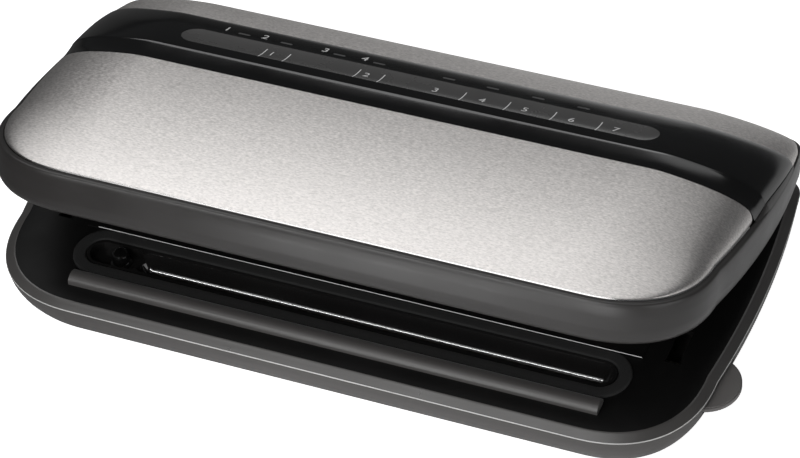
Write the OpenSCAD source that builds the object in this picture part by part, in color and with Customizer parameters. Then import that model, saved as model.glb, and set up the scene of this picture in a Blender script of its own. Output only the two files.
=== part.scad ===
// Countertop vacuum sealer with a hinged lid, all sizes in millimetres.
// X runs across the width, -Y is the front, +Z is up; the feet stand on z = 0.
// The lid is drawn ajar, at lid_ajar degrees above its closed place.

/* [Body] */
// half of the body's width at the front corners
body_hw = 196.7; // [170:0.1:230]
// how far the sides bulge past that at mid depth
side_bow = 4.6; // [0:0.1:8]
// depth of the body, front to rear
body_d = 208; // [190:1:240]
// front corner radius in plan
front_r = 58.1; // [40:0.1:80]
// squareness of the front corners, 2 is a circle
front_p = 2.38; // [2:0.01:3.2]
// rear corner radius in plan
rear_r = 13; // [12.5:0.5:40]
// height of the rubber feet below the tub
foot_h = 2; // [1.5:0.5:6]
// height of the lower tub from its floor to the parting line
tub_h = 23.4; // [20:0.1:34]
// how far the tub tucks in at its bottom edge
tub_tuck = 10.8; // [6:0.5:16]
// height of the bevelled rim above the parting line
rim_h = 2.8; // [2.4:0.1:5]
// width of the bevelled rim seen from above
rim_w = 4.9; // [3:0.1:8]
// wall thickness of the plastic housings
wall = 2.4; // [1.8:0.1:3]

/* [Seal and chamber] */
// distance of the chamber's centre line from the front edge
seal_y = 42.5; // [41:0.5:55]
// distance from the ends of the foam gaskets to the body's sides
seal_in = 40.7; // [38:0.1:60]
// half width of the foam gaskets across the chamber
gasket_hw = 16.3; // [14:0.1:18]
// width of the foam itself
gasket_w = 7; // [5:0.1:8]
// how far the lower gasket stands above the deck
gasket_up = 1.2; // [0.6:0.1:2]
// depth of the vacuum trough below the deck
trough_d = 9.4; // [7:0.1:12]
// length of the silicone pressure bar
bar_len = 295; // [240:1:310]
// width of the silicone pressure bar
bar_w = 9.7; // [7:0.1:11]
// height of the silicone pressure bar above the deck
bar_h = 4.6; // [3:0.1:5]
// distance of the bar's centre line from the front edge
bar_y = 20.4; // [18.5:0.1:22]

/* [Pump platform] */
// distance from the ends of the pump housing to the body's sides
plat_in = 50.7; // [46:0.1:66]
// height of the pump housing above the deck
plat_h = 20; // [16:0.5:22]
// distance of its front wall from the front edge
plat_y = 64.4; // [64:0.5:72]
// diameter of the pump motor
motor_d = 30; // [24:0.5:32]
// length of the pump motor can
motor_l = 52; // [40:1:56]

/* [Lid] */
// angle of the lid above closed, as drawn
lid_ajar = 16.8; // [0:0.1:75]
// height of the lid's side band
band_h = 25.7; // [18:0.1:30]
// rise of the lid's crown above the band
crown_h = 20.6; // [19.5:0.1:30]
// width of the rounded zone at each end of the crown
end_w = 53.4; // [30:1:60]
// thickness of the steel plates
plate_t = 1; // [0.6:0.1:1.2]
// inset of the steel plates from the body's outline
plate_in = 5.5; // [5:0.1:8]
// gap between the closed lid's edge and the deck
lid_gap = 0.4; // [0.3:0.1:1]
// height of the lid's inner face above its lower edge
pad_z = 3.6; // [3.4:0.1:5]

/* [Control strip] */
// distance of the strip's front foot from the front edge, at the middle
strip_y0 = 104; // [95:0.5:108]
// distance of the strip's rear edge from the front edge, at the middle
strip_y1 = 162.7; // [158:0.1:168]
// how far the front foot runs back at the ends
strip_c0 = 6.7; // [0:0.1:14]
// how far the rear edge runs back at the ends
strip_c1 = 11.7; // [0:0.1:14]
// height of the strip's ridge above the crown
strip_up = 2.9; // [1.5:0.1:5]
// length of the touch panel
touch_l = 269.4; // [200:1:280]
// width of the touch panel
touch_w = 14.4; // [10:0.5:18]

/* [Hinge and latch] */
// distance of the hinge axis from the rear edge
hinge_in = 5.5; // [5:0.1:9]
// height of the hinge axis above the deck
hinge_up = 5.3; // [5:0.1:7]
// half distance between the two hinges
hinge_x = 120; // [80:1:140]
// diameter of the hinge pins
pin_d = 3; // [2.5:0.1:4]
// radial clearance of the pins in their turning bores
run_c = 0.06; // [0.03:0.01:0.1]
// distance of the latch slots from the body's sides
slot_in = 25.3; // [24:0.1:27]
// distance of the latch hooks' centre line from the front edge
hook_y = 72.6; // [70:0.1:76]
// travel of the press lever in degrees
lever_deg = 12; // [6:0.5:14]
// distance of the press lever's centre line from the front edge
lever_y = 59.5; // [56:0.5:62]
// how far the press tab stands out of the side
tab_out = 6.8; // [6:0.1:14]

/* [Hidden] */
$fn = 40;
c = 0.3;                         // clearance between separate moving pieces
yf = -body_d / 2;
yr = body_d / 2;
gasket_hl = body_hw - seal_in;   // half length of the foam gaskets
plat_hl = body_hw - plat_in;     // half length of the pump housing
slot_x = body_hw - slot_in;      // distance of the latch slots from the middle
z_floor = foot_h;                // outside of the tub's floor
z_part = foot_h + tub_h;         // parting line
z_deck = z_part + rim_h;         // top of the deck
yg = yf + seal_y;                // chamber centre line
yb = yf + bar_y;                 // pressure bar centre line
z_lid = z_deck + lid_gap;        // lower edge of the closed lid
hy = yr - hinge_in;
hz = z_deck + hinge_up;
tip_x = body_hw + side_bow + tab_out;
shift_x = -tab_out / 2;          // puts the origin under the middle of the box
y_plat = yf + plat_y;
y_hook = yf + hook_y;
y_lev = yf + lever_y;
lever_x = body_hw - 12.7;        // pin of the press lever
lever_z = z_floor + 16;
slide_z = z_floor + 4;           // underside of the latch bar

grey = [0.27, 0.26, 0.26];
black = [0.05, 0.05, 0.055];
steel = [0.72, 0.72, 0.72];

// ---------- outline of the body at an inset k ----------
function pw(a, b) = a <= 0 ? 0 : pow(a, b);
function xh(y, k) = let (w = body_hw - k, f = front_r - k, r = rear_r - k,
    a = yf + k + f, b = yr - k - r)
  y < a ? w - f + f * pw(1 - pw((a - y) / f, front_p), 1 / front_p)
  : y > b ? w - r + sqrt(max(0, r * r - (y - b) * (y - b)))
  : w + side_bow * (1 - pow((2 * y - a - b) / (b - a), 2));
function side(k, nf = 9, ns = 6, nr = 6) = let (w = body_hw - k, f = front_r - k, r = rear_r - k,
    a = yf + k + f, b = yr - k - r)
  concat([for (i = [0 : nf]) let (t = 90 - 90 * i / nf)
      [w - f + f * pw(cos(t), 2 / front_p), a - f * pw(sin(t), 2 / front_p)]],
    [for (i = [1 : ns - 1]) let (y = a + (b - a) * i / ns) [xh(y, k), y]],
    [for (i = [0 : nr]) let (t = 90 * i / nr) [w - r + r * cos(t), b + r * sin(t)]]);
function ring(k) = let (s = side(k), n = len(s))
  concat(s, [for (i = [n - 1 : -1 : 0]) [-s[i][0], s[i][1]]]);
// solid skinned through rows of [z, inset], from the bottom up
module skin(rows) {
  r = [for (q = rows) ring(q[1])];
  n = len(r[0]);
  m = len(rows);
  polyhedron(points = [for (i = [0 : m - 1]) for (p = r[i]) [p[0], p[1], rows[i][0]]],
    faces = concat([[for (j = [0 : n - 1]) j]],
      [for (i = [0 : m - 2]) for (j = [0 : n - 1]) let (k = (j + 1) % n)
        [i * n + j, (i + 1) * n + j, (i + 1) * n + k]],
      [for (i = [0 : m - 2]) for (j = [0 : n - 1]) let (k = (j + 1) % n)
        [i * n + j, (i + 1) * n + k, i * n + k]],
      [[for (j = [n - 1 : -1 : 0]) (m - 1) * n + j]]));
}
module slab(z0, z1, k) { translate([0, 0, z0]) linear_extrude(z1 - z0) polygon(ring(k)); }
module stadium(hl, hw) {
  union() {
    square([2 * (hl - hw), 2 * hw], center = true);
    for (s = [-1, 1]) translate([s * (hl - hw), 0]) circle(hw);
  }
}
module track(z0, z1, hl, hw) { translate([0, yg, z0]) linear_extrude(z1 - z0) stadium(hl, hw); }
module rbox(x, y, z, r) {
  linear_extrude(z) union() {
    square([x - 2 * r, y], center = true);
    square([x, y - 2 * r], center = true);
    for (i = [-1, 1], j = [-1, 1]) translate([i * (x / 2 - r), j * (y / 2 - r)]) circle(r);
  }
}
module lid_pose() {
  translate([shift_x, hy, hz]) rotate([-lid_ajar, 0, 0]) translate([0, -hy, -hz + z_lid]) children();
}
module place() { translate([shift_x, 0, 0]) children(); }

// ---------- crown of the lid, in the lid's own frame ----------
yc = yf + 120.9;                 // highest line of the crown
crown_f = [1.93, 0.875];         // how the height falls to the front edge
crown_r = [2.49, 0.386];         // to the rear edge
crown_e = [1.6, 0.517];          // and to each end
end_x = body_hw + 9.3;           // past the ends of the lid
function dome(t, p) = t <= 0 ? 1 : pw(1 - pw(t, p[0]), p[1]);
function crown(y) = let (e0 = yf + plate_in, e1 = yr - plate_in)
  crown_h * (y < yc ? dome((yc - y) / (yc - e0), crown_f) : dome((y - yc) / (e1 - yc), crown_r));
function top(x, y) = band_h + crown(y) * dome((abs(x) - xh(y, plate_in) + end_w) / end_w, crown_e);
us = [0, 0.2, 0.4, 0.58, 0.73, 0.86, 0.95, 1];
// rows across the depth, as shares of it, closer where the crown bends most
vs_row = [0, 0.003, 0.012, 0.03, 0.061, 0.102, 0.157, 0.228, 0.315, 0.406, 0.497, 0.584, 0.67,
  0.746, 0.812, 0.878, 0.924, 0.959, 0.982, 0.994, 0.9985, 1];
function rows_y(k) = let (a = yf + k, b = yr - k) [for (v = vs_row) a + v * (b - a)];
function cols_x(y, k) = let (e = xh(y, k), g = e - end_w + (k - plate_in))
  concat([for (i = [7 : -1 : 0]) -(g + (e - g) * us[i])], [for (i = [0 : 7]) g + (e - g) * us[i]]);
// closed solid between two grids of points with n points a row
module grid_solid(tp, bt, n) {
  o = len(tp);
  m = o / n;
  polyhedron(points = concat(tp, bt), faces = concat(
    [for (i = [0 : m - 2]) for (j = [0 : n - 2]) let (p = i * n + j, q = p + n) each [
      [p, q, p + 1], [p + 1, q, q + 1], [o + p, o + p + 1, o + q], [o + p + 1, o + q + 1, o + q]]],
    [for (j = [0 : n - 2]) let (q = o - n + j) each [
      [j, j + 1, o + j + 1], [j, o + j + 1, o + j], [q, o + q, o + q + 1], [q, o + q + 1, q + 1]]],
    [for (i = [0 : m - 2]) let (p = i * n, q = p + n, r = q - 1, t = q + n - 1) each [
      [p, o + p, o + q], [p, o + q, q], [r, t, o + t], [r, o + t, o + r]]]));
}
// solid under the crown: from the crown less d0 down to z0, or to the crown less d1 when z0 is 0
module crown_solid(k, d0, d1, z0 = 0) {
  tp = [for (y = rows_y(k)) for (x = cols_x(y, k)) [x, y, top(x, y) - d0]];
  bt = [for (p = tp) [p[0], p[1], z0 == 0 ? p[2] + d0 - d1 : z0]];
  grid_solid(tp, bt, 2 * len(us));
}
// plan curves of the strip's two edges
sweep_x = body_hw - 45.7;        // where the edges start to run back
function sweep(x) = pow(max(0, abs(x) - sweep_x) / (body_hw - sweep_x), 2);
function edge0(x) = yf + strip_y0 + strip_c0 * sweep(x);
function edge1(x) = yf + strip_y1 + strip_c1 * sweep(x);
xe = [end_x, for (d = [0.8, 1.9, 3.9, 7.1, 11.5, 17.2, 24.1, 33.1, 43.3, 53.9]) body_hw - d];
xs = concat([for (x = xe) -x], [for (i = [len(xe) - 1 : -1 : 0]) xe[i]]);
module zone(y, front) {
  translate([0, 0, -5]) linear_extrude(90)
    polygon(concat([[-end_x, y], [end_x, y]],
      [for (i = [len(xs) - 1 : -1 : 0]) [xs[i], front ? edge0(xs[i]) : edge1(xs[i])]]));
}
// height of the strip above the crown at a share v of its width
function rise(v) = strip_up * lookup(v, [[0, 0.03], [0.05, 0.4], [0.12, 0.8], [0.17, 0.96], [0.21, 1],
    [0.3, 0.98], [0.6, 0.77], [0.9, 0.33], [0.97, 0.17], [1, 0.03]]);
module strip_solid() {
  vs = [0, 0.05, 0.12, 0.17, 0.21, 0.3, 0.45, 0.6, 0.75, 0.9, 0.97, 1];
  function at(x, v) = edge0(x) + v * (edge1(x) - edge0(x));
  tp = [for (v = vs) for (x = xs) [x, at(x, v), top(x, at(x, v)) + rise(v)]];
  bt = [for (v = vs) for (x = xs) [x, at(x, v), top(x, at(x, v)) - plate_t + 0.1]];
  grid_solid(tp, bt, len(xs));
}

// ---------- base ----------
tub_curve = [[0, 1], [0.06, 0.83], [0.16, 0.67], [0.32, 0.46], [0.52, 0.24], [0.76, 0.07], [1, 0]];
tub_rows = [for (q = tub_curve) [z_floor + q[0] * tub_h, q[1] * tub_tuck]];
boss_f = body_hw - 46.7;         // screws at the front corners
boss_r = body_hw - 18.7;         // and at the rear ones
boss_xy = [[-boss_f, yf + 22], [boss_f, yf + 22], [-boss_r, yr - 34], [boss_r, yr - 34],
  [-70, yr - 12], [70, yr - 12]];
foot_f = body_hw - 48.7;
foot_b = body_hw - 31.7;
foot_xy = [[-foot_f, yf + 38], [foot_f, yf + 38], [-foot_b, yr - 36], [foot_b, yr - 36]];
foot_r = 8;
guide_x = [66.7 - body_hw, -62, 62, body_hw - 66.7];
bar_tw = 12;                     // width of the latch bar
bar_tt = 2.5;                    // thickness of the latch bar
tab_r = 18.6;                    // radius of the press tab's round end
tab_t = 3;                       // its thickness
tab_cx = tip_x - tab_r;
tab_top = z_part - 3.2;
x_in = lever_x - 5.5;            // right end face of the latch bar
y_slot0 = y_lev - sqrt(tab_r * tab_r - 9) - 1;
tab_drop = (tip_x - tab_out - lever_x) * sin(lever_deg);
inlet_x = body_hw - 44.7;
inlet_w = 24;
inlet_h = 14;
z_inlet = z_floor + 4.6;
motor_x = 70;
motor_y = 18;
motor_z = z_floor + wall + motor_d / 2 + 4;
board_x = -84;
board_y = 30;
nozzle_x = 26.4 - gasket_hl;
well_x = nozzle_x + 9;           // where the trough begins
well_d = 4.6;                    // depth of the well round the nozzle
tray_w = 7.4;                    // half width of the trough and the well
tray_t = 1.2;                    // wall of the tray
trough_x1 = gasket_hl - 9.5;     // and where it ends
lug = 4.5;                       // radius of the hinge knuckles
ear_w = 4;
knuckle_w = 11;
ear_x = knuckle_w / 2 + ear_w / 2 + c; // from the middle of a hinge to its ears
ceil_z = 24;                     // inside height of the lid's cavity for the pump housing
cav_hl = plat_hl + 7;
cav_y0 = y_plat - 3;
cav_y1 = yr - 16;
hook_t = 2.2;
nose = 1.6;
gx = slot_x + 1.7;               // tip of the hook's nose

bar_x0 = 16.7 - body_hw;         // left end of the latch bar
post_x = bar_x0 - 9.5;           // face of the return spring's stop post
catch_gap = 0.8;                 // from the hook's nose to the catch, at rest

module base_tub() {
  color(grey) place() union() {
    difference() {
      skin(tub_rows);
      skin([[z_floor + wall, tub_tuck * 0.7 + wall], [z_floor + 0.32 * tub_h, tub_tuck * 0.46 + wall],
        [z_floor + 0.6 * tub_h, tub_tuck * 0.18 + wall], [z_part + 1, wall]]);
      // slot that the press tab comes out through
      translate([body_hw - 6.7, y_slot0, tab_top - tab_t - tab_drop - 1.4])
        cube([20, 2 * (y_lev - y_slot0), tab_t + tab_drop + 2.2]);
      // opening for the power inlet
      translate([inlet_x - inlet_w / 2, yr - 20, z_inlet]) cube([inlet_w, 30, inlet_h]);
      // seats for the feet, and screw counterbores
      for (p = foot_xy) translate([p[0], p[1], z_floor - 1]) cylinder(r = foot_r + 0.1, h = 2);
      for (p = boss_xy) translate([p[0], p[1], z_floor - 1]) {
        cylinder(d = 3.4, h = 20);
        cylinder(d = 7, h = 3.2);
      }
      // cooling slots under the motor
      for (i = [-4 : 4]) translate([motor_x + i * 8 - 1.5, 20, z_floor - 1]) cube([3, 34, wall + 2]);
    }
    // screw towers
    for (p = boss_xy) translate([p[0], p[1], z_floor + 2.2]) difference() {
      cylinder(d = 10, h = 9);
      translate([0, 0, -3]) cylinder(d = 3.4, h = 20);
      translate([0, 0, -1]) cylinder(d = 7, h = 1);
    }
    // guides of the latch bar
    for (x = guide_x) translate([x, y_hook, z_floor + wall - 0.5]) difference() {
      translate([-4, -bar_tw / 2 - 3, 0]) cube([8, bar_tw + 6, 8]);
      translate([-5, -bar_tw / 2 - c, slide_z - c - (z_floor + wall - 0.5)])
        cube([10, bar_tw + 2 * c, bar_tt + 2 * c]);
      translate([-5, 0.8 - bar_tw / 2, 3]) cube([10, bar_tw - 1.6, 8]);
    }
    // ears of the lever's pin
    for (s = [-1, 1]) translate([lever_x, y_lev + s * 8.2, 0]) rotate([90, 0, 0]) difference() {
      translate([0, 0, -1.8]) linear_extrude(3.6) union() {
        translate([-3.6, z_floor + wall - 0.5]) square([7.2, lever_z - z_floor - wall + 0.5]);
        translate([0, lever_z]) circle(3.6);
      }
      translate([0, lever_z, -3]) cylinder(d = pin_d, h = 6);
    }
    // stop post of the return spring
    translate([post_x - 3, y_hook - 5, z_floor + wall - 0.5]) cube([3, 10, 8.5]);
    // posts of the power board, and the motor's saddle walls
    for (i = [-1, 1], j = [-1, 1])
      translate([board_x + i * 50, board_y + j * 29, z_floor + wall - 0.5]) difference() {
        cylinder(d = 6, h = 4.5);
        translate([0, 0, 1]) cylinder(d = 2.4, h = 5);
      }
  }
}
module base_deck() {
  px = 2 * plat_hl;
  py = yr - 21 - y_plat;
  pc = y_plat + py / 2;
  color(black) place() difference() {
    union() {
      skin([[z_part, 0], [z_deck - 0.5, rim_w * 0.82], [z_deck, rim_w]]);
      // lip that locates the deck inside the tub
      difference() {
        slab(z_part - 2.5, z_part + 0.5, wall + 0.9);
        slab(z_part - 3, z_part + 0.1, wall + 2.6);
        translate([body_hw - 16.7, y_slot0 - 1, z_part - 4]) cube([30, 2 * (y_lev - y_slot0) + 2, 4]);
      }
      // raised pump housing
      translate([0, pc, z_deck - 1]) rbox(px, py, plat_h + 1, 12);
      // step in front of it
      translate([-gasket_hl - 0.5, y_plat - 6, z_deck - 0.5]) cube([2 * gasket_hl + 1, 12, 1.3]);
      // screw bosses under the deck
      for (p = boss_xy) translate([p[0], p[1], z_floor + 11.2]) cylinder(d = 8, h = z_part - z_floor - 11);
      // hinge ears
      for (s = [-1, 1], e = [-1, 1]) translate([s * hinge_x + e * ear_x, 0, 0])
        rotate([90, 0, 90]) translate([0, 0, -ear_w / 2]) linear_extrude(ear_w) union() {
          translate([hy, hz]) circle(lug);
          translate([hy - 7, z_deck - 0.5]) square([7, 3.2]);
          translate([hy - 3, z_deck - 0.5]) square([6, hz - z_deck + 0.5]);
        }
    }
    // hollow of the pump housing
    translate([0, pc, z_part - 1]) rbox(px - 2 * wall, py - 2 * wall, plat_h + rim_h + 1 - wall, 10);
    // seat of the drip tray and the gasket, and the trough's way through
    track(z_deck - 1.6, z_deck + 1, gasket_hl + 0.1, gasket_hw + 0.1);
    translate([tray_cx, yg, z_part - 3]) linear_extrude(rim_h + 4) stadium(tray_l, tray_w + tray_t + 0.2);
    // channel of the pressure bar
    translate([-bar_len / 2 - 0.2, yb - bar_w / 2 + 0.8, z_deck - 1.8])
      cube([bar_len + 0.4, bar_w - 1.6, 4]);
    // latch slots
    for (s = [-1, 1]) translate([s * slot_x - 4, y_hook - 12, z_part - 1]) cube([8, 23.5, 6]);
    // screw pilots
    for (p = boss_xy) translate([p[0], p[1], z_floor + 10]) cylinder(d = 2.6, h = 11);
    // hinge pins
    for (s = [-1, 1]) translate([s * hinge_x - 20, hy, hz]) rotate([0, 90, 0]) cylinder(d = pin_d, h = 40);
  }
}
module rubber_feet() {
  color([0.08, 0.08, 0.08]) place() for (p = foot_xy) translate([p[0], p[1], 0])
    rotate_extrude() polygon([[0, 0], [foot_r - 1.2, 0], [foot_r - 0.3, 0.5], [foot_r, 1.4],
      [foot_r, z_floor + 1], [0, z_floor + 1]]);
}
module base_screws() {
  color([0.5, 0.5, 0.5]) place() for (p = boss_xy) translate([p[0], p[1], 0]) union() {
    translate([0, 0, z_floor + 0.3]) difference() {
      cylinder(d = 5.6, h = 1.9);
      translate([0, 0, -1]) cylinder(d = 2.6, h = 2, $fn = 6);
    }
    translate([0, 0, z_floor + 2]) cylinder(d = 2.5, h = 15);
  }
}
tray_hl = gasket_hl - gasket_w - 0.4; // half length of the tray inside the gasket
tray_x0 = -tray_hl + 1.6;        // left end of the well
tray_cx = (tray_x0 + trough_x1) / 2;
tray_l = (trough_x1 - tray_x0) / 2 + tray_t + 0.2;
module drip_tray() {
  zt = z_deck - 0.4;             // top of the trough's curve
  d = trough_d - 0.4;
  xm = (well_x + trough_x1) / 2;
  l2 = (trough_x1 - well_x) / 2;
  arc = [for (i = [0 : 12]) let (y = tray_w * i / 12) [y, zt - d * (1 - pow(y / tray_w, 2))]];
  color([0.03, 0.03, 0.035]) place() difference() {
    union() {
      track(z_deck - 1.6, z_deck + 0.5, tray_hl, gasket_hw - gasket_w - 0.4);
      translate([tray_cx, yg, z_deck - well_d - tray_t]) linear_extrude(well_d + tray_t)
        stadium(tray_l - 0.2, tray_w + tray_t);
      translate([xm, yg, z_deck - trough_d - tray_t]) linear_extrude(trough_d)
        stadium(l2, tray_w - 0.6);
    }
    // the trough, curved across and round at both ends
    translate([xm, yg, 0]) union() {
      translate([tray_w - l2, 0, 0]) rotate([90, 0, 90]) linear_extrude(2 * (l2 - tray_w))
        polygon(concat([for (i = [12 : -1 : 1]) [-arc[i][0], arc[i][1]]], arc));
      for (s = [-1, 1]) translate([s * (l2 - tray_w), 0, 0]) rotate_extrude()
        polygon(concat([[0, zt]], arc));
      translate([0, 0, zt - 0.01]) linear_extrude(3) stadium(l2, tray_w);
    }
    // well round the nozzle
    translate([(tray_x0 + well_x + 4) / 2, yg, z_deck - well_d]) linear_extrude(well_d + 3)
      stadium((well_x + 4 - tray_x0) / 2, tray_w);
    translate([nozzle_x, yg, z_deck - well_d - 4]) cylinder(d = 8, h = 8);
  }
}
module lower_gasket() {
  color([0.17, 0.17, 0.17]) place() difference() {
    track(z_deck - 1.6, z_deck + gasket_up, gasket_hl, gasket_hw);
    track(z_deck - 3, z_deck + gasket_up + 1, gasket_hl - gasket_w, gasket_hw - gasket_w);
  }
}
module vacuum_nozzle() {
  color([0.04, 0.04, 0.045]) place() translate([nozzle_x, yg, 0]) difference() {
    union() {
      rotate_extrude() polygon([[0, z_part - 5], [3.9, z_part - 5], [3.9, z_deck - well_d],
        [5.8, z_deck - well_d], [5.8, z_deck - well_d + 1], [4.6, z_deck - well_d + 1.6],
        [4.4, z_deck + 2], [4.1, z_deck + 3], [3.2, z_deck + 3.6], [0, z_deck + 3.8]]);
      // barb that the hose goes over
      translate([0, 0, z_part - 7.5]) rotate([-90, 0, 0]) union() {
        cylinder(d = 4, h = 12);
        translate([0, 0, 7]) cylinder(d1 = 4.6, d2 = 4, h = 1.6);
        translate([0, 0, 10]) cylinder(d1 = 4.6, d2 = 3.6, h = 2);
      }
      translate([0, 0, z_part - 10.5]) cylinder(d = 6, h = 8);
    }
    translate([0, 0, z_part - 8.5]) cylinder(d = 2.4, h = rim_h + 9);
    translate([0, 0, z_part - 7.5]) rotate([-90, 0, 0]) cylinder(d = 2.2, h = 14);
    translate([-6, -1, z_deck + 0.9]) cube([12, 2, 1.1]);
  }
}
module pressure_bar() {
  w = bar_w / 2;
  f = bar_w / 2 - 0.9;
  color([0.33, 0.31, 0.31]) place() translate([-bar_len / 2, yb, 0]) rotate([90, 0, 90])
    linear_extrude(bar_len) polygon(concat(
      [[-f, z_deck - 1.8], [f, z_deck - 1.8], [f, z_deck], [w, z_deck]],
      [for (i = [0 : 18]) let (t = i * 10) [w * cos(t), z_deck + 1 + (bar_h - 1) * sin(t)]],
      [[-w, z_deck], [-f, z_deck]]));
}
module pump_motor() {
  color([0.6, 0.6, 0.62]) place()
    translate([motor_x - motor_l / 2, motor_y, motor_z]) rotate([0, 90, 0]) union() {
    cylinder(d = motor_d, h = motor_l);
    translate([0, 0, -2]) cylinder(d = 10, h = 3);
    translate([0, 0, motor_l - 1]) cylinder(d = 8, h = 3.5);
    translate([0, 0, motor_l]) cylinder(d = 2.3, h = 12);
    for (s = [-1, 1]) translate([-0.4, s * 8 - 1.2, -5]) cube([0.8, 2.4, 6]);
  }
}
module pump_head() {
  h = 24;
  color([0.12, 0.12, 0.13]) place() translate([motor_x + motor_l / 2, motor_y, motor_z]) difference() {
    union() {
      translate([0.05, -15, -14]) cube([h, 30, 28]);
      translate([h, 0, 0]) rotate([0, 90, 0]) cylinder(d = 24, h = 4);
      for (s = [-1, 1]) translate([h / 2, -14, s * 7]) rotate([90, 0, 0]) union() {
        cylinder(d = 4, h = 5.6);
        translate([0, 0, 3]) cylinder(d1 = 4.6, d2 = 4, h = 2);
      }
    }
    translate([-1, 0, 0]) rotate([0, 90, 0]) cylinder(d = 8.2, h = 14);
    for (s = [-1, 1]) translate([h / 2, -8, s * 7]) rotate([90, 0, 0]) cylinder(d = 2.2, h = 20);
    for (i = [-1, 1], j = [-1, 1])
      translate([h - 5, i * 12, j * 11]) rotate([0, 90, 0]) cylinder(d = 2.4, h = 8);
  }
}
module pump_cradle() {
  z0 = z_floor + wall;
  color([0.1, 0.1, 0.1]) place() for (x = [motor_x - motor_l / 2 + 5, motor_x + motor_l / 2 - 11])
    translate([x, motor_y, 0]) difference() {
      translate([0, -motor_d / 2 - 3, z0]) cube([6, motor_d + 6, motor_z - z0 + 2]);
      translate([-1, 0, motor_z]) rotate([0, 90, 0]) cylinder(d = motor_d, h = 8);
    }
}
// hose run: from the nozzle's barb back under the deck, then across to the pump
hose_r = 3.3;
hose_bore = 4.64;
hose_z0 = z_part - 7.5;
hose_z1 = motor_z - 7;
hose_x1 = motor_x + motor_l / 2 + 12;
hose_y1 = motor_y - 28;          // line that it crosses the base on
hose_pts = [[nozzle_x, yg + 4, hose_z0], [nozzle_x, yg + 17, hose_z0], [nozzle_x, hose_y1 - 12, hose_z0],
  [nozzle_x + 3.5, hose_y1 - 3.5, hose_z0], [nozzle_x + 12, hose_y1, hose_z0],
  [hose_x1 - 14, hose_y1, hose_z1], [hose_x1 - 3.5, hose_y1 + 3, hose_z1],
  [hose_x1, motor_y - 20, hose_z1], [hose_x1, motor_y - 15, hose_z1]];
function unit(v) = v / norm(v);
// tube of radius r swept along the points p, with n sides that keep square to the axis ref
module tube(p, r, n = 16, ref = [0, 0, 1]) {
  m = len(p);
  dirs = [for (i = [0 : m - 1]) unit(p[min(i + 1, m - 1)] - p[max(i - 1, 0)])];
  polyhedron(points = [for (i = [0 : m - 1]) let (u = unit(cross(dirs[i], ref)), w = cross(u, dirs[i]))
      for (j = [0 : n - 1]) p[i] + r * (cos(360 * j / n) * u + sin(360 * j / n) * w)],
    faces = concat([[for (j = [n - 1 : -1 : 0]) j]],
      [for (i = [0 : m - 2]) for (j = [0 : n - 1]) let (k = (j + 1) % n) each [
        [i * n + j, i * n + k, (i + 1) * n + k], [i * n + j, (i + 1) * n + k, (i + 1) * n + j]]],
      [[for (j = [0 : n - 1]) (m - 1) * n + j]]));
}
module vacuum_hose() {
  color([0.75, 0.75, 0.73]) place() difference() {
    tube(hose_pts, hose_r);
    translate(hose_pts[0] - [0, 1, 0]) rotate([-90, 0, 0]) cylinder(d = hose_bore, h = 14);
    translate([hose_x1, motor_y - 19.9, hose_z1]) rotate([-90, 0, 0]) cylinder(d = hose_bore, h = 12);
  }
}
module release_valve() {
  z0 = z_floor + wall;
  color([0.2, 0.25, 0.5]) place() translate([6, 34, z0]) union() {
    cube([26, 20, 18]);
    translate([26, 10, 9]) rotate([0, 90, 0]) cylinder(d = 5, h = 4);
    translate([13, 0, 11]) rotate([90, 0, 0]) cylinder(d = 4, h = 6);
  }
}
module power_board() {
  z0 = z_floor + wall + 4;
  color([0.1, 0.35, 0.18]) place() translate([board_x, board_y, z0]) union() {
    difference() {
      translate([-55, -34, 0]) cube([110, 68, 1.6]);
      for (i = [-1, 1], j = [-1, 1]) translate([i * 50, j * 29, -1]) cylinder(d = 3, h = 4);
    }
    for (x = [32, 44]) translate([x, -16, 1.5]) cylinder(d = 10, h = 17);
    translate([26, 4, 1.5]) cube([24, 10, 14]);
    translate([-52, -22, 1.5]) cube([8, 40, 9]);
    translate([20, 22, 1.5]) cube([18, 8, 9]);
  }
}
module transformer() {
  z0 = z_floor + wall + 5.6;
  color([0.45, 0.4, 0.3]) place() translate([board_x - 12, board_y, z0]) union() {
    translate([-22, -19, 0]) cube([44, 38, 8]);
    translate([-22, -12, 7.9]) cube([44, 24, 20]);
    translate([-16, -19, 7.9]) cube([32, 38, 16]);
  }
}
module power_inlet() {
  color([0.06, 0.06, 0.06]) place() translate([inlet_x, yr, z_inlet + inlet_h / 2]) union() {
    difference() {
      translate([-inlet_w / 2, -24, -inlet_h / 2]) cube([inlet_w, 17.5, inlet_h]);
      translate([0, -20, 0]) rotate([-90, 0, 0]) linear_extrude(20) stadium(8.4, 4.4);
    }
    for (s = [-1, 1]) translate([s * 4.3, -26, 0]) rotate([-90, 0, 0]) cylinder(d = 2.4, h = 14, $fn = 24);
  }
}
module latch_bar() {
  color([0.75, 0.73, 0.68]) place() union() {
    translate([bar_x0, y_hook - bar_tw / 2, slide_z]) cube([x_in - bar_x0, bar_tw, bar_tt]);
    // tongue that the lever pushes
    translate([x_in - 4, y_lev - 5, slide_z]) cube([4, y_hook - y_lev + 5, 4.5]);
    // catches beside each latch slot
    for (x = [gx + catch_gap, gx - 2 * slot_x + catch_gap]) let (px = x + 2)
      translate([0, y_hook, slide_z]) union() {
        translate([px, -5, 0]) cube([2.2, 10, z_part - 3 - slide_z]);
        translate([x, -5, z_part - 3 - slide_z - 3]) cube([3, 10, 3]);
      }
  }
}
module latch_spring() {
  l = bar_x0 - post_x;
  turns = 4;
  color([0.7, 0.7, 0.72]) place() tube([for (i = [0 : 12 * turns])
    [post_x + 0.5 + (l - 1) * i / (12 * turns), y_hook + 2.6 * cos(30 * i),
     slide_z + 2.2 + 2.6 * sin(30 * i)]],
    0.5, 6, [1, 0, 0]);
}
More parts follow.
